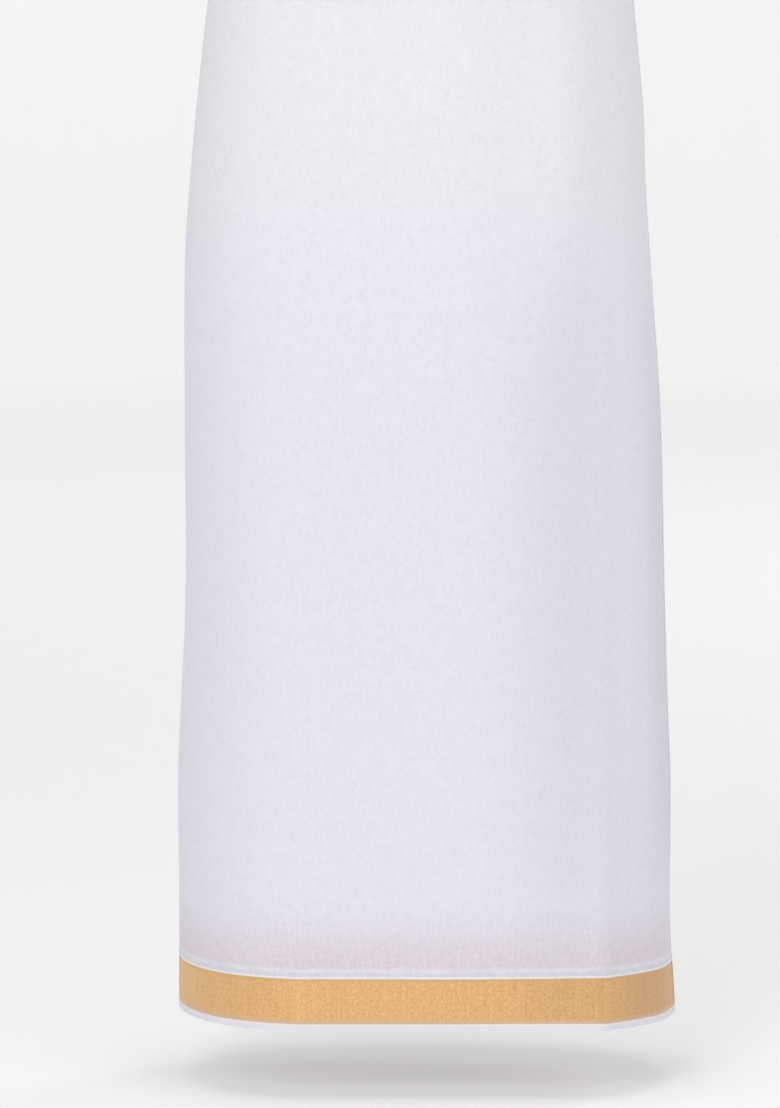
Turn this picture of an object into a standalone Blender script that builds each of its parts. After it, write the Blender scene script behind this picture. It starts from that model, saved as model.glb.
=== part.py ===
"""Dhoti cloth, wound as it is worn: an ankle-length tube of thin cotton, open at waist and hem.

The garment is one woven rectangle, 2.00 m long and 1.27 m wide, with a gold border along each
long edge. It is wound once and a half round the wearer. The inner end starts under the left back,
crosses the front, and comes round the right side. The cloth then runs across the back and round
the left side, and crosses the front again as the outer layer. Its free end lies just behind the
wearer's right side. The spare width is turned out and down at the waist, as a flat roll.

Axes: metres, +Z up, +X to the wearer's left, the front faces -Y. The origin is the centre of the
waist opening, level with its rim.
"""

import math
from collections import namedtuple
from functools import lru_cache

import bmesh
import bpy
from mathutils import Vector

# ---- Driving dimensions, in metres ----------------------------------------------------------

WORN_LENGTH = 1.015        # waist rim to hem
WALL = 0.0012              # thickness of one layer of cloth
SEAM_GAP = 0.0004          # space kept between pieces that touch
LAYER_PITCH = 0.0020       # middle of one layer to the middle of the next, where two lie together
BORDER_HEIGHT = 0.0430     # gold band with the white selvage under it
ROLL_TOP = 0.0085          # height of the roll's top above the cloth that it hooks over
INNER_END_RISE = 0.010     # the hem is drawn up by this much at the hidden inner end
RISE_FADE = 0.030          # and the rise is gone this far above the border
GROUND_ROWS = 22           # rows of cells between the border and the waist
ROUNDNESS = 0.52           # how full the tube's corners are, seen from above

# Creases pressed into the folded cloth bound a flat panel across the back.
CREASE_LEFT = 0.1026
CREASE_RIGHT = -0.1474

# The tube's plan at each height above the hem. left and right are where its outside reaches
# furthest to each side, and left_y and right_y are how far back those places lie. back and front
# are the reach to the rear and the front. turn_left and turn_right are how far the back panel has
# turned from straight across where it meets each crease, and kink_left and kink_right are how
# sharply the cloth turns on there, all in degrees. lean is how much further forward the right
# crease lies than the left one. taper draws the creases in.
Section = namedtuple(
    "Section",
    "height left right left_y right_y back front turn_left turn_right lean kink_left kink_right taper",
)
SECTIONS = (
    Section(0.000, 0.2070, -0.2070, -0.029, -0.010, 0.1460, -0.1480, 0.0, 0.0, 0.000, 12.0, 42.0, 1.00),
    Section(0.083, 0.2064, -0.2055, -0.028, -0.008, 0.1460, -0.1475, 0.5, 11.0, 0.010, 10.0, 30.0, 1.00),
    Section(0.188, 0.2070, -0.2063, -0.026, -0.004, 0.1463, -0.1460, 1.0, 22.0, 0.022, 8.0, 16.0, 1.00),
    Section(0.260, 0.2040, -0.2036, -0.023, 0.000, 0.1467, -0.1445, 2.0, 27.0, 0.029, 7.0, 9.0, 1.00),
    Section(0.334, 0.2008, -0.2012, -0.019, 0.003, 0.1470, -0.1425, 3.0, 30.0, 0.033, 6.0, 5.0, 1.00),
    Section(0.500, 0.2010, -0.1965, -0.010, 0.008, 0.1480, -0.1375, 6.0, 31.0, 0.033, 4.0, 2.0, 1.00),
    Section(0.627, 0.1997, -0.1872, 0.000, 0.010, 0.1500, -0.1325, 9.0, 30.0, 0.027, 3.0, 1.0, 1.00),
    Section(0.690, 0.1952, -0.1828, 0.004, 0.010, 0.1512, -0.1300, 10.5, 30.0, 0.022, 2.0, 0.0, 0.99),
    Section(0.751, 0.1896, -0.1810, 0.006, 0.009, 0.1508, -0.1275, 12.0, 29.0, 0.017, 1.0, 0.0, 0.94),
    Section(0.838, 0.1800, -0.1735, 0.005, 0.006, 0.1445, -0.1235, 14.0, 27.0, 0.011, 0.0, 0.0, 0.84),
    Section(0.930, 0.1680, -0.1640, 0.003, 0.004, 0.1290, -0.1175, 17.0, 24.0, 0.005, 0.0, 0.0, 0.72),
    Section(1.015, 0.1600, -0.1600, 0.000, 0.000, 0.1130, -0.1130, 22.0, 22.0, 0.000, 0.0, 0.0, 0.60),
)

# Soft folds that every layer shares. Bearings are in degrees round the tube as seen from above:
# 0 at the back, 90 at the wearer's left, 180 at the front and -90 at the right. Each fold runs
# from one bearing at the hem to another at the waist. depth is outward, or inward if negative.
Fold = namedtuple("Fold", "name hem waist half_width depth low high")
FOLDS = (
    Fold("right_back_trough", -31.0, -50.0, 9.0, -0.0020, 0.02, 0.80),
    Fold("right_seat_fullness", -42.0, -42.0, 9.5, 0.0085, 0.50, 0.96),
    Fold("middle_dip", 6.0, 2.0, 10.0, -0.0015, 0.10, 0.62),
    Fold("free_corner", -82.0, -82.0, 7.0, 0.0030, -0.09, 0.09),
    Fold("right_front_ridge", -126.0, -112.0, 10.0, 0.0120, -0.40, 0.98),
    Fold("right_front_trough", -150.0, -126.0, 12.0, -0.0070, -0.40, 0.98),
    Fold("front_ridge", -175.0, -142.0, 11.0, 0.0145, -0.40, 0.98),
    Fold("front_trough", 160.0, 200.0, 13.0, -0.0065, -0.30, 0.96),
    Fold("left_front_ridge", 138.0, 156.0, 10.0, 0.0120, -0.30, 0.94),
    Fold("left_front_trough", 117.0, 128.0, 10.0, -0.0045, -0.30, 0.92),
)

# Columns of cells in each stretch of one turn, from the right side round by the back.
RIGHT_BACK, BACK, LEFT_BACK, LEFT_FRONT, RIGHT_FRONT = 9, 8, 11, 13, 13
TURN = RIGHT_BACK + BACK + LEFT_BACK + LEFT_FRONT + RIGHT_FRONT
LEFT_SIDE = RIGHT_BACK + BACK + LEFT_BACK

# Where the winding starts and ends and where the three stretches meet, in columns.
INNER_END = RIGHT_BACK + BACK
RIGHT_SIDE = TURN
BACK_END = TURN + LEFT_SIDE
OUTER_END = 2 * TURN + 2

# The roll at the waist, cut across: out from the ring through the layers, and up from the rim.
RollPoint = namedtuple("RollPoint", "out up")
ROLL_PROFILE = (
    RollPoint(-0.0030, -ROLL_TOP),
    RollPoint(-0.0034, -0.0045),
    RollPoint(-0.0022, -0.0012),
    RollPoint(0.0010, 0.0000),
    RollPoint(0.0055, -0.0010),
    RollPoint(0.0080, -0.0045),
    RollPoint(0.0090, -0.0150),
    RollPoint(0.0090, -0.0450),
    RollPoint(0.0080, -0.0560),
    RollPoint(0.0057, -0.0580),
    RollPoint(0.0036, -0.0560),
    RollPoint(0.0030, -0.0450),
    RollPoint(0.0030, -ROLL_TOP),
)


# ---- Scene and materials --------------------------------------------------------------------

for old in list(bpy.data.objects):
    bpy.data.objects.remove(old)

garment = bpy.data.collections.new("dhoti_cloth")
bpy.context.scene.collection.children.link(garment)


def make_material(name, colour, roughness, metallic):
    """Principled material with a plain colour."""
    material = bpy.data.materials.new(name)
    material.use_nodes = True
    shader = material.node_tree.nodes["Principled BSDF"]
    shader.inputs["Base Color"].default_value = (*colour, 1.0)
    shader.inputs["Roughness"].default_value = roughness
    shader.inputs["Metallic"].default_value = metallic
    return material


cotton = make_material("cotton", (0.80, 0.80, 0.86), 0.85, 0.0)
gold_border = make_material("gold_border", (0.76, 0.46, 0.21), 0.55, 0.2)


# ---- The tube's plan ------------------------------------------------------------------------

def ease(value):
    """0 below 0, 1 above 1, and a smooth step between."""
    value = min(max(value, 0.0), 1.0)
    return value * value * (3.0 - 2.0 * value)


def section_at(height):
    """The section at any height, on a smooth curve through the rows of the table."""
    last = len(SECTIONS) - 1
    row = 0
    while row < last - 1 and height > SECTIONS[row + 1].height:
        row += 1
    low, high = SECTIONS[row], SECTIONS[row + 1]
    before, after = SECTIONS[max(row - 1, 0)], SECTIONS[min(row + 2, last)]
    span = high.height - low.height
    t = (height - low.height) / span
    values = []
    for a, b, c, d in zip(before, low, high, after):
        slope_low = (c - a) / (high.height - before.height) * span
        slope_high = (d - b) / (after.height - low.height) * span
        rise = (2 * t**3 - 3 * t**2 + 1) * b + (3 * t**2 - 2 * t**3) * c
        values.append(rise + (t**3 - 2 * t**2 + t) * slope_low + (t**3 - t**2) * slope_high)
    return Section(*values)


def arc(start, leave, end, arrive, cells):
    """Points of a curve from start, heading leave, to just before end, heading arrive."""
    first = start + leave * (end - start).dot(leave) * ROUNDNESS
    second = end - arrive * (end - start).dot(arrive) * ROUNDNESS
    points = []
    for step in range(cells):
        t = step / cells
        points.append(
            start * (1 - t)**3 + first * (3 * t * (1 - t)**2)
            + second * (3 * t * t * (1 - t)) + end * t**3
        )
    return points


def heading(degrees):
    """Unit vector of a heading: 0 along +X, and turning right, towards -Y, as it grows."""
    return Vector((math.cos(math.radians(degrees)), -math.sin(math.radians(degrees))))


def plan(height):
    """One turn's points seen from above: right side, back, left side, front, without folds."""
    cut = section_at(height)
    outer_layer = LAYER_PITCH + WALL / 2
    right = Vector((cut.right + outer_layer, cut.right_y))
    left = Vector((cut.left - outer_layer, cut.left_y))
    front = Vector((0.0, cut.front))
    crease_right = Vector((CREASE_RIGHT * cut.taper, -cut.lean))
    crease_left = Vector((CREASE_LEFT * cut.taper, 0.0))
    panel = arc(crease_right, heading(-cut.turn_right), crease_left, heading(cut.turn_left), BACK)
    # The panel is moved so that its rearmost place lies at the reach to the rear.
    to_rear = Vector((0.0, cut.back - max(point.y for point in panel)))
    into_right = heading(-cut.turn_right - cut.kink_right)
    out_of_left = heading(cut.turn_left + cut.kink_left)
    points = arc(right, heading(-90), crease_right + to_rear, into_right, RIGHT_BACK)
    points += [point + to_rear for point in panel]
    points += arc(crease_left + to_rear, out_of_left, left, heading(90), LEFT_BACK)
    points += arc(left, heading(90), front, heading(180), LEFT_FRONT)
    points += arc(front, heading(180), right, heading(270), RIGHT_FRONT)
    return points


def fold_at(bearing, height):
    """How far the shared folds move the cloth outward here."""
    total = 0.0
    for fold in FOLDS:
        centre = fold.hem + (fold.waist - fold.hem) * height / WORN_LENGTH
        away = (bearing - centre + 180.0) % 360.0 - 180.0
        middle = (fold.low + fold.high) / 2
        strength = 1.0 - ease(abs(height - middle) / (fold.high - middle))
        total += fold.depth * strength * math.exp(-(away / fold.half_width)**2)
    return total


@lru_cache(maxsize=None)
def ring(height):
    """Points and outward directions of one turn, with its folds."""
    flat = plan(height)
    points = []
    outward = []
    for column, point in enumerate(flat):
        along = flat[(column + 1) % TURN] - flat[column - 1]
        out = Vector((-along.y, along.x)).normalized()
        bearing = math.degrees(math.atan2(point.x, point.y))
        points.append(point + out * fold_at(bearing, height))
        outward.append(out)
    return points, outward


# ---- The winding ----------------------------------------------------------------------------

def layer_offset(column):
    """How far out from the shared ring the cloth lies at this column of the winding."""
    return LAYER_PITCH * ease((column - TURN - INNER_END + 7) / 6)


def hem_rise(column, height):
    """How far the hidden inner end is drawn up, fading above the border and to the right side."""
    inner = 1.0 - ease((column - INNER_END) / (RIGHT_SIDE - INNER_END))
    return INNER_END_RISE * inner * (1.0 - ease((height - BORDER_HEIGHT) / RISE_FADE))


def cell_grid(columns, rows, place):
    """Grid of cells, with each corner put where place(column, row) says."""
    grid = bmesh.new()
    bmesh.ops.create_grid(grid, x_segments=columns, y_segments=rows, size=0.5)
    for corner in grid.verts:
        column = round((corner.co.x + 0.5) * columns)
        row = round((corner.co.y + 0.5) * rows)
        corner.co = place(column, row)
    return grid


def add_object(name, cells, material):
    """Object in the garment's collection made from a bmesh."""
    mesh = bpy.data.meshes.new(name)
    cells.to_mesh(mesh)
    cells.free()
    mesh.shade_smooth()
    mesh.materials.append(material)
    made = bpy.data.objects.new(name, mesh)
    garment.objects.link(made)
    return made


def wound_stretch(name, first, last, heights, material):
    """One stretch of the winding between two columns, over a range of heights, as a thin wall."""

    def place(column, row):
        running = first + column
        height = heights[row] + hem_rise(running, heights[row])
        points, outward = ring(height)
        spot = running % TURN
        point = points[spot] + outward[spot] * layer_offset(running)
        if column in (0, last - first):
            # The stretch stops short of the next one by half of the seam's gap.
            inside = 1 if column == 0 else -1
            towards = points[(running + inside) % TURN] - points[spot]
            point = point + towards.normalized() * (SEAM_GAP / 2)
        return Vector((point.x, point.y, height - WORN_LENGTH))

    wall = add_object(name, cell_grid(last - first, len(heights) - 1, place), material)
    thickness = wall.modifiers.new("thickness", "SOLIDIFY")
    thickness.thickness = WALL
    thickness.offset = 0.0
    thickness.use_even_offset = True
    return wall


def even_heights(low, high, rows):
    """Heights from low to high in even rows."""
    return [low + (high - low) * row / rows for row in range(rows + 1)]


border_heights = even_heights(0.0, BORDER_HEIGHT - SEAM_GAP / 2, 1)
ground_heights = even_heights(BORDER_HEIGHT + SEAM_GAP / 2, WORN_LENGTH - ROLL_TOP - SEAM_GAP, GROUND_ROWS)

Stretch = namedtuple("Stretch", "name first last")
STRETCHES = (
    Stretch("inner_front", INNER_END, RIGHT_SIDE),
    Stretch("back", RIGHT_SIDE, BACK_END),
    Stretch("outer_front", BACK_END, OUTER_END),
)

for stretch in STRETCHES:
    wound_stretch(stretch.name, stretch.first, stretch.last, ground_heights, cotton)
    wound_stretch(stretch.name + "_border", stretch.first, stretch.last, border_heights, gold_border)


# ---- The roll at the waist ------------------------------------------------------------------

def waist_roll():
    """The spare width, turned out over the rim and laid flat against the outer layer."""
    rings = [ring(WORN_LENGTH + corner.up) for corner in ROLL_PROFILE]

    def place(column, row):
        corner = ROLL_PROFILE[row % len(ROLL_PROFILE)]
        points, outward = rings[row % len(ROLL_PROFILE)]
        spot = column % TURN
        point = points[spot] + outward[spot] * corner.out
        return Vector((point.x, point.y, corner.up))

    cells = cell_grid(TURN, len(ROLL_PROFILE), place)
    bmesh.ops.remove_doubles(cells, verts=cells.verts, dist=0.000001)
    bmesh.ops.recalc_face_normals(cells, faces=cells.faces)
    return add_object("waist_roll", cells, cotton)


waist_roll()
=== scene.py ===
"""Dhoti cloth as it is worn: one thin cotton rectangle with a gold border, wound round the wearer.

Metres, +Z up, +X to the wearer's left, the front faces -Y. The origin is the centre of the waist
opening, level with its rim. Waist and hem are both open.
"""

import math
from collections import namedtuple
from functools import lru_cache

import bmesh
import bpy
import numpy as np
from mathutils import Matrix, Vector


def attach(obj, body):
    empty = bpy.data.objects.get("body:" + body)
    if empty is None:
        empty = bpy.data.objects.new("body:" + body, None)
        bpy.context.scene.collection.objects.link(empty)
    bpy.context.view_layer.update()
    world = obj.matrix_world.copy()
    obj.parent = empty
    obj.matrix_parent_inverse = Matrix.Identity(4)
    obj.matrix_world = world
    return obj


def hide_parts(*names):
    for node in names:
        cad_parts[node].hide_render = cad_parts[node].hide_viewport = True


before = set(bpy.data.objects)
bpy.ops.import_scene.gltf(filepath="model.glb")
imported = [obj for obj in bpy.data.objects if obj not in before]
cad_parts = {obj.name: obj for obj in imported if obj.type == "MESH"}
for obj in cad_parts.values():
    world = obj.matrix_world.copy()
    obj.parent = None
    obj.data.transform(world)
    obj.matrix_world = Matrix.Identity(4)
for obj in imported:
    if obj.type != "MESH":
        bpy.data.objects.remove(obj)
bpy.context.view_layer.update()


# ---- The ground of the cloth ----------------------------------------------------------------
# The white ground is plain-woven fine cotton, bleached bluish white, pressed flat in eight and
# then wound rather more than once and a half round the wearer. Its inner end starts under the left
# back, crosses the front and comes round the right side; the outer end lies just behind it.

WORN_LENGTH = 1.015        # waist rim to hem
CLOTH = 0.0005             # thickness of one layer
SOLID_WALL = 0.0012        # thickness of one layer in the solids
LAYER_PITCH = 0.0020       # middle of one layer to the middle of the next, where two lie together
BORDER_HEIGHT = 0.0430     # gold band with the white selvage under it
ROLL_TOP = 0.0089          # the roll takes over from the ground this far below the rim
INNER_END_RISE = 0.010     # the hem is drawn up by this much at the hidden inner end
RISE_FADE = 0.030          # height over the border in which that dies out
END_PITCH = 0.0005         # the outer end is pressed down on the layer under it
ROUNDNESS = 0.52           # how full the tube's corners are, seen from above

# The press folded the cloth's length in eight, and these two folds bound the flat of the back.
CREASE_LEFT = 0.1026
CREASE_RIGHT = -0.1474
PRESS_STEP = 0.250         # from one fold across the length to the next
PRESS_WIDTH = 0.0050
PRESS_DEPTH = 0.0006
# It also folded the width in four.
WIDTH_FOLDS = (0.3175, 0.6350, 0.9525)

# Plan of the tube at each height above the hem: reach to each side and how far back that lies,
# reach to the rear and front, how far the cloth turns from straight across at the left and the
# right fold, in degrees, how much further forward the right fold lies than the left, how
# sharply the cloth turns at each, in degrees, and how far the folds are drawn in.
Section = namedtuple(
    "Section",
    "height left right left_y right_y back front turn_left turn_right lean kink_left kink_right taper",
)
SECTIONS = (
    Section(0.000, 0.2070, -0.2070, -0.029, -0.010, 0.1460, -0.1480, 0.0, 0.0, 0.000, 12, 42, 1.00),
    Section(0.083, 0.2064, -0.2055, -0.028, -0.008, 0.1460, -0.1475, 0.5, 11.0, 0.010, 10, 30, 1.00),
    Section(0.188, 0.2070, -0.2063, -0.026, -0.004, 0.1463, -0.1460, 1.0, 22.0, 0.022, 8, 16, 1.00),
    Section(0.260, 0.2040, -0.2036, -0.023, 0.000, 0.1467, -0.1445, 2.0, 27.0, 0.029, 7, 9, 1.00),
    Section(0.334, 0.2008, -0.2012, -0.019, 0.003, 0.1470, -0.1425, 3.0, 30.0, 0.033, 6, 5, 1.00),
    Section(0.500, 0.2010, -0.1965, -0.010, 0.008, 0.1480, -0.1375, 6.0, 31.0, 0.033, 4, 2, 1.00),
    Section(0.627, 0.1997, -0.1872, 0.000, 0.010, 0.1500, -0.1325, 9.0, 30.0, 0.027, 3, 1, 1.00),
    Section(0.690, 0.1952, -0.1828, 0.004, 0.010, 0.1512, -0.1300, 10.5, 30.0, 0.022, 2, 0, 0.99),
    Section(0.751, 0.1896, -0.1810, 0.006, 0.009, 0.1508, -0.1275, 12.0, 29.0, 0.017, 1, 0, 0.94),
    Section(0.838, 0.1800, -0.1735, 0.005, 0.006, 0.1445, -0.1235, 14.0, 27.0, 0.011, 0, 0, 0.84),
    Section(0.930, 0.1680, -0.1640, 0.003, 0.004, 0.1290, -0.1175, 17.0, 24.0, 0.005, 0, 0, 0.72),
    Section(1.015, 0.1600, -0.1600, 0.000, 0.000, 0.1130, -0.1130, 22.0, 22.0, 0.000, 0, 0, 0.60),
)

# Soft folds. Bearings are degrees round the tube from above: 0 at the back, 90 at the wearer's
# left, 180 at the front and -90 at the right. A fold runs from one bearing at the hem to another
# at the waist, bowed aside at mid-length. depth is outward, or inward if negative.
Fold = namedtuple("Fold", "hem waist bow half_width depth low high")
FOLDS = (
    # The large ones, which hang from the hips and the thighs.
    Fold(-31.0, -50.0, 0.0, 9.0, -0.0020, 0.02, 0.80),
    Fold(-42.0, -42.0, 0.0, 9.5, 0.0085, 0.50, 0.96),
    Fold(6.0, 2.0, 0.0, 10.0, -0.0015, 0.10, 0.62),
    Fold(-126.0, -112.0, 0.0, 10.0, 0.0120, -0.40, 0.98),
    Fold(-150.0, -126.0, 0.0, 12.0, -0.0070, -0.40, 0.98),
    Fold(-175.0, -142.0, 0.0, 11.0, 0.0145, -0.40, 0.98),
    Fold(160.0, 200.0, 0.0, 13.0, -0.0065, -0.30, 0.96),
    Fold(138.0, 156.0, 0.0, 10.0, 0.0120, -0.30, 0.94),
    Fold(117.0, 128.0, 0.0, 10.0, -0.0045, -0.30, 0.92),
    # Finer ones between them, down the front and the sides.
    Fold(-163.0, -138.0, 3.0, 4.5, 0.0034, 0.16, 0.97),
    Fold(-139.0, -120.0, -2.0, 5.0, 0.0030, 0.05, 0.90),
    Fold(171.0, 190.0, 4.0, 4.0, -0.0036, 0.20, 0.99),
    Fold(150.0, 178.0, -3.0, 4.5, 0.0036, 0.12, 0.93),
    Fold(128.0, 141.0, 2.0, 4.0, -0.0032, 0.08, 0.88),
    Fold(104.0, 112.0, -2.5, 5.5, 0.0032, 0.04, 0.86),
    Fold(88.0, 96.0, 2.0, 5.0, -0.0020, 0.22, 0.93),
    Fold(-96.0, -92.0, -2.0, 5.0, -0.0018, 0.16, 0.90),
    Fold(-108.0, -101.0, 3.0, 4.5, 0.0026, 0.02, 0.74),
    # The outer end's lower corner, which stands out a little.
    Fold(-82.0, -82.0, 0.0, 7.0, 0.0030, -0.09, 0.09),
    # Short gathers where the width is drawn in under the roll.
    Fold(-20.0, -20.0, 0.0, 4.0, -0.0016, 0.84, 1.16),
    Fold(12.0, 12.0, 0.0, 5.0, -0.0014, 0.86, 1.16),
    Fold(38.0, 38.0, 0.0, 4.0, 0.0015, 0.83, 1.16),
    Fold(63.0, 63.0, 0.0, 4.5, -0.0018, 0.76, 1.16),
    Fold(80.0, 80.0, 0.0, 3.5, 0.0020, 0.78, 1.16),
    Fold(97.0, 97.0, 0.0, 4.0, -0.0024, 0.68, 1.16),
    Fold(113.0, 113.0, 0.0, 3.5, 0.0022, 0.74, 1.16),
    Fold(126.0, 128.0, 0.0, 3.5, -0.0026, 0.62, 1.16),
    Fold(137.0, 140.0, 0.0, 3.5, 0.0024, 0.70, 1.16),
    Fold(152.0, 154.0, 0.0, 4.0, -0.0026, 0.58, 1.16),
    Fold(165.0, 168.0, 0.0, 3.5, 0.0024, 0.66, 1.16),
    Fold(182.0, 185.0, 0.0, 4.0, -0.0028, 0.60, 1.16),
    Fold(-164.0, -161.0, 0.0, 3.5, 0.0022, 0.72, 1.16),
    Fold(-150.0, -149.0, 0.0, 3.5, -0.0024, 0.66, 1.16),
    Fold(-133.0, -132.0, 0.0, 4.0, 0.0020, 0.73, 1.16),
    Fold(-116.0, -116.0, 0.0, 4.0, -0.0022, 0.70, 1.16),
    Fold(-99.0, -99.0, 0.0, 4.0, 0.0018, 0.78, 1.16),
    Fold(-80.0, -80.0, 0.0, 4.5, -0.0020, 0.75, 1.16),
    Fold(-60.0, -60.0, 0.0, 4.5, 0.0014, 0.82, 1.16),
)

# Columns of cells in each stretch of one turn, from the right side round by the back.
RIGHT_BACK, BACK, LEFT_BACK, LEFT_FRONT, RIGHT_FRONT = 36, 32, 44, 52, 52
TURN = RIGHT_BACK + BACK + LEFT_BACK + LEFT_FRONT + RIGHT_FRONT

# Where the winding starts and ends, in columns.
INNER_END = RIGHT_BACK + BACK
OUTER_END = 2 * TURN + 8

# Columns in which the cloth lifts over its inner end, and in which its outer end is pressed down.
# Both are done this many columns before the end itself.
LIFT = 24
PRESS_DOWN = 36
DONE_BEFORE = 4


def ease(value):
    """0 below 0, 1 above 1, and a smooth step between."""
    value = np.clip(value, 0.0, 1.0)
    return value * value * (3.0 - 2.0 * value)


def section_at(height):
    """The section at any height, on a smooth curve through the rows of the table."""
    last = len(SECTIONS) - 1
    row = 0
    while row < last - 1 and height > SECTIONS[row + 1].height:
        row += 1
    low, high = SECTIONS[row], SECTIONS[row + 1]
    before, after = SECTIONS[max(row - 1, 0)], SECTIONS[min(row + 2, last)]
    span = high.height - low.height
    t = (height - low.height) / span
    values = []
    for a, b, c, d in zip(before, low, high, after):
        slope_low = (c - a) / (high.height - before.height) * span
        slope_high = (d - b) / (after.height - low.height) * span
        rise = (2 * t**3 - 3 * t**2 + 1) * b + (3 * t**2 - 2 * t**3) * c
        values.append(rise + (t**3 - 2 * t**2 + t) * slope_low + (t**3 - t**2) * slope_high)
    return Section(*values)


def arc(start, leave, end, arrive, cells):
    """Points of a curve from start, heading leave, to just before end, heading arrive."""
    t = np.arange(cells)[:, None] / cells
    first = start + leave * np.dot(end - start, leave) * ROUNDNESS
    second = end - arrive * np.dot(end - start, arrive) * ROUNDNESS
    return (
        start * (1 - t)**3 + first * (3 * t * (1 - t)**2)
        + second * (3 * t * t * (1 - t)) + end * t**3
    )


def heading(degrees):
    """Unit vector of a heading: 0 along +X, and turning right, towards -Y, as it grows."""
    return np.array((math.cos(math.radians(degrees)), -math.sin(math.radians(degrees))))


def plan(height):
    """One turn's points seen from above: right side, back, left side, front, without folds."""
    cut = section_at(height)
    # The table gives the outside of the outer layer, with the layers as thick as in the solids.
    outer_layer = LAYER_PITCH + SOLID_WALL / 2
    right = np.array((cut.right + outer_layer, cut.right_y))
    left = np.array((cut.left - outer_layer, cut.left_y))
    front = np.array((0.0, cut.front))
    crease_right = np.array((CREASE_RIGHT * cut.taper, -cut.lean))
    crease_left = np.array((CREASE_LEFT * cut.taper, 0.0))
    panel = arc(
        crease_right, heading(-cut.turn_right), crease_left, heading(cut.turn_left), BACK
    )
    # The panel is moved so that its rearmost place lies at the reach to the rear.
    to_rear = np.array((0.0, cut.back - panel[:, 1].max()))
    into_right = heading(-cut.turn_right - cut.kink_right)
    out_of_left = heading(cut.turn_left + cut.kink_left)
    return np.concatenate((
        arc(right, heading(-90), crease_right + to_rear, into_right, RIGHT_BACK),
        panel + to_rear,
        arc(crease_left + to_rear, out_of_left, left, heading(90), LEFT_BACK),
        arc(left, heading(90), front, heading(180), LEFT_FRONT),
        arc(front, heading(180), right, heading(270), RIGHT_FRONT),
    ))


def fold_depth(bearings, height):
    """How far the folds move the cloth outward at each bearing."""
    total = np.zeros(len(bearings))
    along = height / WORN_LENGTH
    for fold in FOLDS:
        centre = fold.hem + (fold.waist - fold.hem) * along + fold.bow * math.sin(math.pi * along)
        away = (bearings - centre + 180.0) % 360.0 - 180.0
        middle = (fold.low + fold.high) / 2
        strength = 1.0 - ease(abs(height - middle) / (fold.high - middle))
        total += fold.depth * strength * np.exp(-(away / fold.half_width)**2)
    return total


@lru_cache(maxsize=None)
def ring(height):
    """Points and outward directions of one turn, with its folds."""
    flat = plan(height)
    along = np.roll(flat, -1, axis=0) - np.roll(flat, 1, axis=0)
    outward = np.stack((-along[:, 1], along[:, 0]), axis=1)
    outward /= np.linalg.norm(outward, axis=1)[:, None]
    bearings = np.degrees(np.arctan2(flat[:, 0], flat[:, 1]))
    return flat + outward * fold_depth(bearings, height)[:, None], outward


def layer_offset(column):
    """How far out from the shared ring the cloth lies at this column of the winding."""
    past_lift = column - (TURN + INNER_END - DONE_BEFORE - LIFT)
    past_press = column - (OUTER_END - DONE_BEFORE - PRESS_DOWN)
    over_inner_end = LAYER_PITCH * ease(past_lift / LIFT)
    pressed = (LAYER_PITCH - END_PITCH) * ease(past_press / PRESS_DOWN)
    return over_inner_end - pressed


def hem_rise(column, height):
    """How far the hidden inner end is drawn up, fading above the border and to the right side."""
    inner = 1.0 - ease((column - INNER_END) / (TURN - INNER_END))
    return INNER_END_RISE * inner * (1.0 - ease((height - BORDER_HEIGHT) / RISE_FADE))


def hem_lengths():
    """Length along the hem from the inner end to each column of the winding."""
    points, _ = ring(0.0)
    steps = np.linalg.norm(np.roll(points, -1, axis=0) - points, axis=1)
    lengths = [0.0]
    for column in range(INNER_END, OUTER_END):
        lengths.append(lengths[-1] + steps[column % TURN])
    return lengths


LENGTH_AT = hem_lengths()
RIGHT_FOLD = LENGTH_AT[TURN + RIGHT_BACK - INNER_END]
FIRST_PRESS = RIGHT_FOLD - 3 * PRESS_STEP


def press_ridge(length):
    """Low sharp ridge left by the press, at each fold across the length."""
    away = (length - FIRST_PRESS + PRESS_STEP / 2) % PRESS_STEP - PRESS_STEP / 2
    return PRESS_DEPTH * math.exp(-abs(away) / PRESS_WIDTH)


def cloth_point(column, height):
    """Where a point of the wound cloth lies, at a column of the winding and a height."""
    raised = height + hem_rise(column, height)
    points, outward = ring(round(float(raised), 5))
    spot = column % TURN
    out = layer_offset(column) + press_ridge(LENGTH_AT[column - INNER_END])
    point = points[spot] + outward[spot] * out
    return Vector((point[0], point[1], raised - WORN_LENGTH))


def cell_grid(columns, rows, place, lengths, heights):
    """Grid of cells put where place(column, row) says, with its cloth coordinates in metres."""
    grid = bmesh.new()
    bmesh.ops.create_grid(grid, x_segments=columns, y_segments=rows, size=0.5, calc_uvs=False)
    on_cloth = grid.loops.layers.uv.new("cloth")
    for corner in grid.verts:
        column = round((corner.co.x + 0.5) * columns)
        row = round((corner.co.y + 0.5) * rows)
        for loop in corner.link_loops:
            loop[on_cloth].uv = (lengths[column], heights[row])
        corner.co = place(column, row)
    return grid


def add_cloth(name, cells, material):
    """Object made from a sheet of cells, given the cloth's thickness and clean cut edges."""
    sheet = bpy.data.meshes.new(name)
    cells.to_mesh(sheet)
    cells.free()
    piece = bpy.data.objects.new(name, sheet)
    bpy.context.scene.collection.objects.link(piece)
    wall = piece.modifiers.new("thickness", "SOLIDIFY")
    wall.thickness = CLOTH
    wall.offset = 0.0
    wall.use_even_offset = True
    finished = bpy.data.meshes.new_from_object(
        piece.evaluated_get(bpy.context.evaluated_depsgraph_get())
    )
    piece.modifiers.clear()
    piece.data = finished
    finished.name = name
    finished.shade_smooth()
    finished.set_sharp_from_angle(angle=math.radians(50))
    finished.materials.clear()
    finished.materials.append(material)
    return piece


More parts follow.
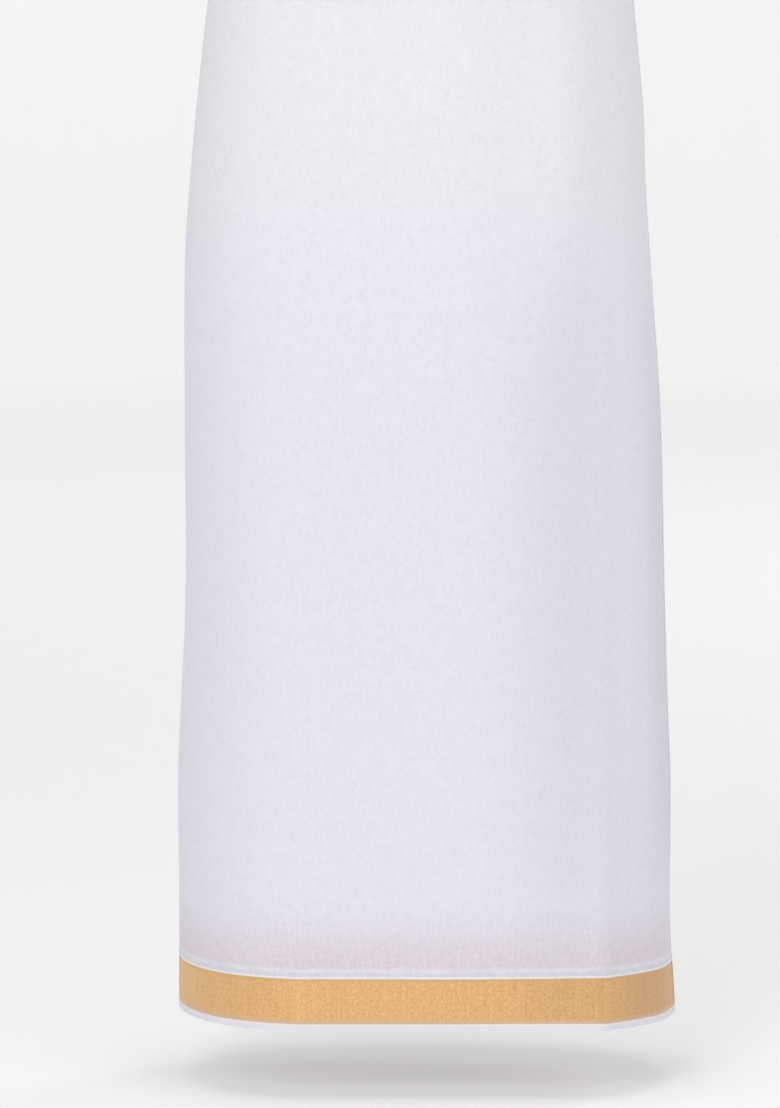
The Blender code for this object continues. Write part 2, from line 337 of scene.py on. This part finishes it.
def even(low, high, rows):
    """Heights from low to just under high in even rows."""
    return [low + (high - low) * row / rows for row in range(rows)]


def wound_cells(heights):
    """Cells of the whole winding between the lowest and the highest of these heights."""
    return cell_grid(
        OUTER_END - INNER_END,
        len(heights) - 1,
        lambda column, row: cloth_point(INNER_END + column, heights[row]),
        LENGTH_AT,
        heights,
    )


class Socket:
    """A shader socket. Arithmetic on it adds Math nodes to its tree."""

    def __init__(self, tree, end):
        self.tree = tree
        self.end = end

    def node(self, kind, settings=None, sockets=None, out=0):
        """A new node: its settings are made first, and then its sockets are filled or linked."""
        made = self.tree.nodes.new(kind)
        for name, value in (settings or {}).items():
            setattr(made, name, value)
        for name, value in (sockets or {}).items():
            if isinstance(value, Socket):
                self.tree.links.new(value.end, made.inputs[name])
            else:
                made.inputs[name].default_value = value
        return Socket(self.tree, made.outputs[out])

    def maths(self, operation, *values):
        """A Math node with these values."""
        return self.node("ShaderNodeMath", {"operation": operation}, dict(enumerate(values)))

    def __add__(self, other):
        return self.maths("ADD", self, other)

    def __sub__(self, other):
        return self.maths("SUBTRACT", self, other)

    def __mul__(self, other):
        return self.maths("MULTIPLY", self, other)

    def __truediv__(self, other):
        return self.maths("DIVIDE", self, other)

    def __radd__(self, other):
        return self.maths("ADD", other, self)

    def __rsub__(self, other):
        return self.maths("SUBTRACT", other, self)

    def __rmul__(self, other):
        return self.maths("MULTIPLY", other, self)

    def part(self, start, end):
        """0 where this is at start, 1 where it is at end, and smooth between."""
        return self.node(
            "ShaderNodeMapRange",
            {"interpolation_type": "SMOOTHSTEP"},
            {0: self, 1: start, 2: end, 3: 0.0, 4: 1.0},
        )

    def line(self, centre, half_width):
        """1 along a soft line where this is at centre, and 0 away from it."""
        away = (self - centre) / half_width
        return self.maths("EXPONENT", 0.0 - away * away)

    def scaled(self, amount):
        """This colour, made lighter or darker by an amount."""
        return self.node(
            "ShaderNodeVectorMath", {"operation": "SCALE"}, {0: self, "Scale": amount}
        )

    def mix(self, plain, other):
        """From one colour to the other, as this goes from 0 to 1."""
        return self.node(
            "ShaderNodeMix", {"data_type": "RGBA"}, {0: self, 6: plain, 7: other}, out=2
        )

    def raised(self, strength, distance):
        """Bump that raises the surface where this is high."""
        return self.node(
            "ShaderNodeBump", None, {"Height": self, "Strength": strength, "Distance": distance}
        )

    def feed(self, shader, name):
        """Link this to the shader's socket of that name."""
        self.tree.links.new(self.end, shader.inputs[name])


def cloth_material(name, roughness, metallic, sheen):
    """New fabric material, with its shader and the cloth's length and height as sockets."""
    material = bpy.data.materials.new(name)
    material.use_nodes = True
    tree = material.node_tree
    shader = tree.nodes["Principled BSDF"]
    shader.inputs["Roughness"].default_value = roughness
    shader.inputs["Metallic"].default_value = metallic
    shader.inputs["Sheen Weight"].default_value = sheen
    shader.inputs["Sheen Roughness"].default_value = 0.5
    shader.inputs["Specular IOR Level"].default_value = 0.3
    place = Socket(tree, None).node("ShaderNodeUVMap", {"uv_map": "cloth"})
    along = place.node("ShaderNodeSeparateXYZ", None, {0: place}, out=0)
    up = place.node("ShaderNodeSeparateXYZ", None, {0: place}, out=1)
    return material, shader, along, up


def yarns(along, up, length, thickness, seed):
    """Uneven streaks of single yarns that run along the cloth, from 0 to 1."""
    at = along.node("ShaderNodeCombineXYZ", None, {0: along / length, 1: up / thickness, 2: seed})
    return at.node(
        "ShaderNodeTexNoise",
        {"noise_dimensions": "3D"},
        {"Vector": at, "Scale": 1.0, "Detail": 2.0, "Roughness": 0.6},
    )


def weave(along, up, pitch):
    """Over and under of a plain weave of that pitch, from -1 to 1."""
    upright = along.maths("SINE", along * (math.pi / pitch))
    level = up.maths("SINE", up * (math.pi / pitch))
    return upright * level


COTTON_WHITE = (0.799, 0.787, 0.870, 1.0)
# Towards the waist: a little warmer, and lighter as painted light from above.
COTTON_HIGH_LIT = (0.822, 0.821, 0.864, 1.0)
COTTON_DENSE = (0.716, 0.702, 0.752, 1.0)
COTTON_EDGE = (0.880, 0.850, 0.860, 1.0)
SEEN_THROUGH = (0.755, 0.674, 0.733, 1.0)
COTTON_WEAVE = 0.00042     # pitch of its yarns
COTTON_ROUGHNESS = 0.86

# Heights above the hem between which the tone changes: at the close cord on the border, at the
# close strip over it, at both ends of the band that is seen through, and towards the waist.
CORD_STOPS = (0.0438, 0.0446)
STRIP_STOPS = (0.0480, 0.0525)
BAND_STARTS = (0.048, 0.053)
BAND_STOPS = (0.044, 0.108)
WARM_AND_LIT_TOWARDS_WAIST = (0.50, 0.80)
# Lengths of cloth between which the border behind comes and goes.
BEHIND_STARTS = (0.76, 0.84)
BEHIND_STOPS = (1.34, 1.42)
# Middle and half width of the shade beside the right back fold, and heights between which it dies
# out, up and down.
FOLD_SHADE = (RIGHT_FOLD + 0.031, 0.040)
FOLD_SHADE_TOP = (0.72, 0.50)
FOLD_SHADE_FOOT = (-0.16, 0.20)
# The shade round the outer end: lengths between which it stops on the back and starts again in
# front, and heights between which it dies out.
END_SHADE_STOPS = (RIGHT_FOLD - 0.092, RIGHT_FOLD - 0.054)
END_SHADE_STARTS = (1.85, 1.93)
END_SHADE_TOP = (0.64, 0.42)
END_SHADE_FOOT = (0.06, 0.20)
# Middle and half width of the line on the outer end.
END_LINE = (LENGTH_AT[-1] - 0.0020, 0.0016)

cotton, cotton_shader, along, up = cloth_material(
    "pressed_cotton", roughness=COTTON_ROUGHNESS, metallic=0.0, sheen=0.12
)
level_yarns = yarns(along, up, 0.030, 0.0009, 1.0)
upright_yarns = yarns(up, along, 0.024, 0.0010, 7.0)
# Thicker places in the yarns, and patches woven a little closer or more open.
level_slubs = yarns(along, up, 0.0065, 0.0024, 4.0)
upright_slubs = yarns(up, along, 0.009, 0.0022, 9.0)
slubs = level_slubs * 0.45 + upright_slubs * 0.55
patches = yarns(along, up, 0.010, 0.014, 3.0)
mottle = yarns(along, up, 0.035, 0.045, 5.0)
closeness = slubs * 0.68 + patches * 0.18 + (level_yarns + upright_yarns) * 0.07
# Just over the border the weave is closer, and above that the border behind shows through.
edge_cord = 1.0 - up.part(*CORD_STOPS)
dense_strip = 1.0 - (up + patches * 0.004).part(*STRIP_STOPS)
seen_band = up.part(*BAND_STARTS) * (1.0 - up.part(*BAND_STOPS))
seen_band = seen_band * along.part(*BEHIND_STARTS) * (1.0 - along.part(*BEHIND_STOPS))
# The cloth is a little warmer towards the waist, and lighter there as painted light, where the seat
# catches more light from above.
tone = up.part(*WARM_AND_LIT_TOWARDS_WAIST).mix(COTTON_WHITE, COTTON_HIGH_LIT)
tone = (seen_band * (0.30 + 0.80 * patches + 0.60 * mottle)).mix(tone, SEEN_THROUGH)
tone = dense_strip.mix(tone, COTTON_DENSE)
tone = edge_cord.mix(tone, COTTON_EDGE)
# Beside the right back fold less light comes through the cloth, from the seat to the calf.
fold_shade = along.line(*FOLD_SHADE) * up.part(*FOLD_SHADE_TOP) * up.part(*FOLD_SHADE_FOOT)
tone = tone.scaled(1.0 - 0.06 * fold_shade)
# Nor does as much where the outer end lies on the layers under it, from the thigh to the calf.
end_shade = 1.0 - along.part(*END_SHADE_STOPS) + along.part(*END_SHADE_STARTS)
end_shade = end_shade * up.part(*END_SHADE_FOOT) * up.part(*END_SHADE_TOP)
tone = tone.scaled(1.0 - 0.065 * end_shade)
# The outer end is finished with a narrow close line, lighter there as a painted highlight along its
# edge.
tone = (along.line(*END_LINE) * 0.5).mix(tone, COTTON_EDGE)
# Where the weave is thin the cloth is a little darker, and most so over the border behind.
thin = tone.scaled(0.953 - 0.045 * seen_band - 0.02 * dense_strip)
tone = closeness.part(0.42, 0.58).mix(thin, tone)
tone.feed(cotton_shader, "Base Color")
relief = weave(along, up, COTTON_WEAVE) * 0.35 + level_yarns * 0.5 + upright_yarns * 0.5
relief.raised(strength=0.6, distance=0.00012).feed(cotton_shader, "Normal")

# Rows of cells from the border up, with one on each fold across the width.
ground_levels = (BORDER_HEIGHT, *WIDTH_FOLDS, WORN_LENGTH - ROLL_TOP)
ground_heights = []
for low, high, rows in zip(ground_levels, ground_levels[1:], (34, 40, 40, 7)):
    ground_heights += even(low, high, rows)
ground_heights.append(ground_levels[-1])

ground = add_cloth("dhoti_ground", wound_cells(ground_heights), cotton)
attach(ground, "root")
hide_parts("inner_front", "back", "outer_front")


# ---- The border -----------------------------------------------------------------------------
# A band of gold-coloured metallic thread is woven in along the long edge, over a plain white
# selvage. It is the same cloth as the ground and turns every corner with it.

SELVAGE = 0.0058           # height of the white selvage, where the gold starts
GOLD_TOP = (0.0423, 0.0427)  # heights between which it stops
GOLD_WEAVE = 0.0007        # pitch of its yarns
GOLD_ROUGHNESS = 0.50
GOLD_METALLIC = 0.25
FLOAT_PITCH = 0.0015       # from one float at the gold's edge to the next
# Lengths between which the painted shade on the gold, where it turns away round the right side, stops
# on the back and starts again in front.
GOLD_SHADE_STOPS = (RIGHT_FOLD - 0.046, RIGHT_FOLD)
GOLD_SHADE_STARTS = (1.88, 1.93)
GOLD_LIGHT = (0.855, 0.555, 0.275, 1.0)
GOLD_DEEP = (0.690, 0.370, 0.125, 1.0)
# Painted shade on the gold, where it turns away from the lamps.
GOLD_SHADED = (0.500, 0.270, 0.180, 1.0)
GOLD_TOP_THREADS = (0.640, 0.400, 0.230, 1.0)
GOLD_LOW_THREADS = (0.670, 0.480, 0.360, 1.0)
SELVAGE_WHITE = (0.790, 0.780, 0.850, 1.0)
SELVAGE_EDGE = (0.880, 0.800, 0.740, 1.0)

gold, gold_shader, along, up = cloth_material(
    "gold_border", roughness=GOLD_ROUGHNESS, metallic=GOLD_METALLIC, sheen=0.05
)
gold_yarns = yarns(along, up, 0.010, 0.0008, 5.0)
gold_floats = yarns(up, along, 0.0026, 0.0019, 2.0)
gold_streaks = yarns(up, along, 0.060, 0.0024, 6.0)
speckle = gold_yarns * 0.25 + gold_floats * 0.55 + gold_streaks * 0.20
tone = speckle.part(0.30, 0.70).mix(GOLD_DEEP, GOLD_LIGHT)
# The press has flattened the thread at the folds, and a painted highlight runs along each. Beside the
# right back fold the band has painted shade, and more painted shade where it turns away round the
# right side.
from_press = along.maths("PINGPONG", along - FIRST_PRESS, PRESS_STEP / 2)
tone = (from_press.line(0.0, 0.0030) * 0.25).mix(tone, GOLD_LIGHT)
tone = tone.scaled(1.0 - 0.10 * along.line(*FOLD_SHADE))
turned_shade = 1.0 - along.part(*GOLD_SHADE_STOPS) + along.part(*GOLD_SHADE_STARTS)
tone = (turned_shade * 0.36).mix(tone, GOLD_SHADED)
# At its top and bottom the threads are darker, and the lowest are mixed with white ones.
tone = (up.line(0.0414, 0.0010) * 0.7).mix(tone, GOLD_TOP_THREADS)
tone = (1.0 - up.part(SELVAGE, SELVAGE + 0.0050)).mix(tone, GOLD_LOW_THREADS)
# The gold starts and stops in short floats, which leave a dotted edge.
floats = along.maths("SINE", along * (2 * math.pi / FLOAT_PITCH)) * 0.0002
over_selvage = (up + floats - SELVAGE).part(-0.0003, 0.0003)
in_gold = over_selvage * (1.0 - (up + floats).part(*GOLD_TOP))
white = up.part(SELVAGE - 0.0028, SELVAGE - 0.0006).mix(SELVAGE_WHITE, SELVAGE_EDGE)
tone = in_gold.mix(white, tone)
tone.feed(gold_shader, "Base Color")
(in_gold * GOLD_METALLIC).feed(gold_shader, "Metallic")
roughness = COTTON_ROUGHNESS - in_gold * (COTTON_ROUGHNESS - GOLD_ROUGHNESS)
roughness.feed(gold_shader, "Roughness")
relief = weave(along, up, GOLD_WEAVE) * 0.5 + speckle
relief.raised(strength=0.7, distance=0.0002).feed(gold_shader, "Normal")

border_heights = even(0.0, BORDER_HEIGHT, 6) + [BORDER_HEIGHT]
border = add_cloth("dhoti_border", wound_cells(border_heights), gold)
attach(border, "root")
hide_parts("inner_front_border", "back_border", "outer_front_border")


# ---- The roll at the waist ------------------------------------------------------------------
# The spare width of the same cloth, turned out over the rim and rolled down flat on itself, with
# the upper border in its core. Nothing is sewn: the roll holds the dhoti up.

# The roll cut across, from the top of the ground round its turns: out from the ring, and up from
# the rim.
ROLL_PROFILE = (
    (0.0000, -0.0089), (0.0000, -0.0055), (0.0008, -0.0022), (0.0030, -0.0004), (0.0058, -0.0008),
    (0.0080, -0.0035), (0.0089, -0.0080), (0.0091, -0.0180), (0.0091, -0.0300), (0.0090, -0.0420),
    (0.0087, -0.0510), (0.0078, -0.0562), (0.0062, -0.0577), (0.0046, -0.0562), (0.0037, -0.0510),
    (0.0034, -0.0400), (0.0033, -0.0250), (0.0034, -0.0130), (0.0042, -0.0075), (0.0057, -0.0058),
    (0.0071, -0.0080), (0.0077, -0.0140), (0.0079, -0.0270), (0.0079, -0.0400), (0.0076, -0.0495),
    (0.0064, -0.0528), (0.0052, -0.0495), (0.0047, -0.0400), (0.0046, -0.0250), (0.0049, -0.0150),
    (0.0057, -0.0120), (0.0064, -0.0150), (0.0066, -0.0250), (0.0066, -0.0440),
)

ROLL_DEPTH = 0.058         # rim to the roll's lower edge
ROLL_INSIDE = 0.0034       # the turns of the roll lie outside this one
ROLL_CREASE_COUNT = 18
ROLL_CREASE_WIDTH = 2.4    # half of it, in degrees round the tube
MOST_PRESSED = 0.48        # share by which the turns can be pressed together

# Slanting creases pressed into the roll as it was turned down: bearing and slant, in degrees, and
# the share by which they press its turns together.
ROLL_CREASES = [
    (
        360.0 / ROLL_CREASE_COUNT * number + 7.0 * math.sin(2.7 * number),
        9.0 * math.sin(1.9 * number + 0.5),
        0.34 + 0.12 * math.sin(4.1 * number),
    )
    for number in range(ROLL_CREASE_COUNT)
]

roll_width = [0.0]
for (out, rise), (next_out, next_rise) in zip(ROLL_PROFILE, ROLL_PROFILE[1:]):
    roll_width.append(roll_width[-1] + math.hypot(next_out - out, next_rise - rise))


def pressed_in(bearing, rise):
    """How much the creases press the turns of the roll together here, as a share."""
    total = 0.0
    for centre, slant, share in ROLL_CREASES:
        away = (bearing - centre - slant * rise / ROLL_DEPTH + 180.0) % 360.0 - 180.0
        total += share * math.exp(-(away / ROLL_CREASE_WIDTH)**2)
    return min(total, MOST_PRESSED)


def roll_point(column, row):
    """Where a point of the roll lies: its lower edge and its rim are a little uneven."""
    out, rise = ROLL_PROFILE[row]
    out -= max(out - ROLL_INSIDE, 0.0) * pressed_in(360.0 * column / TURN, rise)
    turn = 2 * math.pi * column / TURN
    sag = 0.0016 * math.sin(2 * turn + 0.6) + 0.0011 * math.sin(5 * turn + 2.1)
    lift = 0.0007 * math.sin(3 * turn + 1.2)
    rise += sag * ease(-rise / ROLL_DEPTH) + lift * ease(1.0 + rise / ROLL_TOP)
    points, outward = ring(round(WORN_LENGTH + rise, 5))
    spot = column % TURN
    point = points[spot] + outward[spot] * out
    return Vector((point[0], point[1], rise))


roll_cells = cell_grid(
    TURN,
    len(ROLL_PROFILE) - 1,
    roll_point,
    LENGTH_AT,
    [WORN_LENGTH + width for width in roll_width],
)
bmesh.ops.remove_doubles(roll_cells, verts=roll_cells.verts, dist=0.000001)
roll = add_cloth("dhoti_waist_roll", roll_cells, cotton)
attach(roll, "root")
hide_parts("waist_roll")


# ---- Studio ---------------------------------------------------------------------------------
# A pale round paper cove, the same from every side, with wide soft lights and a long lens at hip
# height behind the wearer. The paper glows more where the lamps no longer reach it.

PAPER = (0.86, 0.86, 0.86, 1.0)
GLOW_NEAR = (0.290, 0.290, 0.290, 1.0)
GLOW_FAR = (0.425, 0.425, 0.425, 1.0)
GLOW_WALL = (0.397, 0.397, 0.397, 1.0)
FLOOR = -1.072
FLOOR_REACH = 12.0         # radius at which the floor starts to bend up
BEND = 2.5                 # radius of that bend
COVE_TOP = 5.0
GLOW_PEAK = 7.5            # how far out the paper glows most
GLOW_SETTLED = 13.5        # how far out that has sunk to the wall's glow
DAYLIGHT = 0.29            # strength of the even light from all round
LENS = 216.06              # focal length, in millimetres
CAMERA_PLACE = (0.0293, 5.516, -0.215)
CAMERA_DIP = 4.37          # degrees below level

cove_cells = bmesh.new()
floor_end = cove_cells.verts.new((FLOOR_REACH, 0.0, FLOOR))
cove_cells.edges.new((cove_cells.verts.new((0.0, 0.0, FLOOR)), floor_end))
bend = bmesh.ops.spin(
    cove_cells,
    geom=[floor_end],
    cent=(FLOOR_REACH, 0.0, FLOOR + BEND),
    axis=(0.0, -1.0, 0.0),
    angle=math.pi / 2,
    steps=12,
)
wall_foot = next(item for item in bend["geom_last"] if isinstance(item, bmesh.types.BMVert))
wall_top = cove_cells.verts.new((FLOOR_REACH + BEND, 0.0, COVE_TOP))
cove_cells.edges.new((wall_foot, wall_top))
bmesh.ops.spin(
    cove_cells,
    geom=[*cove_cells.verts, *cove_cells.edges],
    cent=(0.0, 0.0, 0.0),
    axis=(0.0, 0.0, 1.0),
    angle=2 * math.pi,
    steps=96,
    use_merge=True,
)
bmesh.ops.remove_doubles(cove_cells, verts=cove_cells.verts, dist=0.0001)
bmesh.ops.recalc_face_normals(cove_cells, faces=cove_cells.faces)
cove = bpy.data.meshes.new("paper_cove")
cove_cells.to_mesh(cove)
cove_cells.free()
cove.shade_smooth()

paper = bpy.data.materials.new("paper")
paper.use_nodes = True
paper_shader = paper.node_tree.nodes["Principled BSDF"]
paper_shader.inputs["Base Color"].default_value = PAPER
paper_shader.inputs["Roughness"].default_value = 0.9
paper_shader.inputs["Specular IOR Level"].default_value = 0.0
paper_shader.inputs["Emission Strength"].default_value = 1.0
spot = Socket(paper.node_tree, None).node("ShaderNodeTexCoord", out=3)
level = spot.node("ShaderNodeVectorMath", {"operation": "MULTIPLY"}, {0: spot, 1: (1.0, 1.0, 0.0)})
away = level.node("ShaderNodeVectorMath", {"operation": "LENGTH"}, {0: level}, out=1)
glow = away.part(0.0, GLOW_PEAK).mix(GLOW_NEAR, GLOW_FAR)
glow = away.part(GLOW_PEAK, GLOW_SETTLED).mix(glow, GLOW_WALL)
glow.feed(paper_shader, "Emission Color")
cove.materials.append(paper)
backdrop = bpy.data.objects.new("paper_cove", cove)
bpy.context.scene.collection.objects.link(backdrop)

world = bpy.data.worlds.new("studio")
world.use_nodes = True
world.node_tree.nodes["Background"].inputs["Color"].default_value = (1.0, 1.0, 1.0, 1.0)
world.node_tree.nodes["Background"].inputs["Strength"].default_value = DAYLIGHT
bpy.context.scene.world = world


def soft_light(name, place, target, size, power):
    """A square soft light at place, turned towards target."""
    lamp = bpy.data.lights.new(name, "AREA")
    lamp.shape = "SQUARE"
    lamp.size = size
    lamp.energy = power
    holder = bpy.data.objects.new(name, lamp)
    holder.location = place
    holder.rotation_euler = (Vector(target) - Vector(place)).to_track_quat("-Z", "Y").to_euler()
    holder.visible_camera = False
    bpy.context.scene.collection.objects.link(holder)


soft_light("key", (1.75, 5.9, 2.4), (0.0, 0.0, -0.5), 2.5, 112.0)
soft_light("fill", (-3.9, 4.9, 1.2), (0.0, 0.0, -0.6), 2.9, 12.0)
soft_light("front", (-4.6, -5.4, 2.6), (0.0, 0.0, -0.5), 1.8, 80.0)
soft_light("top", (0.0, 0.8, 3.4), (0.0, 0.0, -0.6), 2.8, 40.0)

lens = bpy.data.cameras.new("camera")
lens.lens = LENS
lens.sensor_width = 36.0
camera = bpy.data.objects.new("camera", lens)
camera.location = CAMERA_PLACE
camera.rotation_euler = (math.radians(90.0 - CAMERA_DIP), 0.0, math.radians(180.0))
bpy.context.scene.collection.objects.link(camera)
bpy.context.scene.camera = camera
bpy.context.scene.view_settings.view_transform = "Standard"
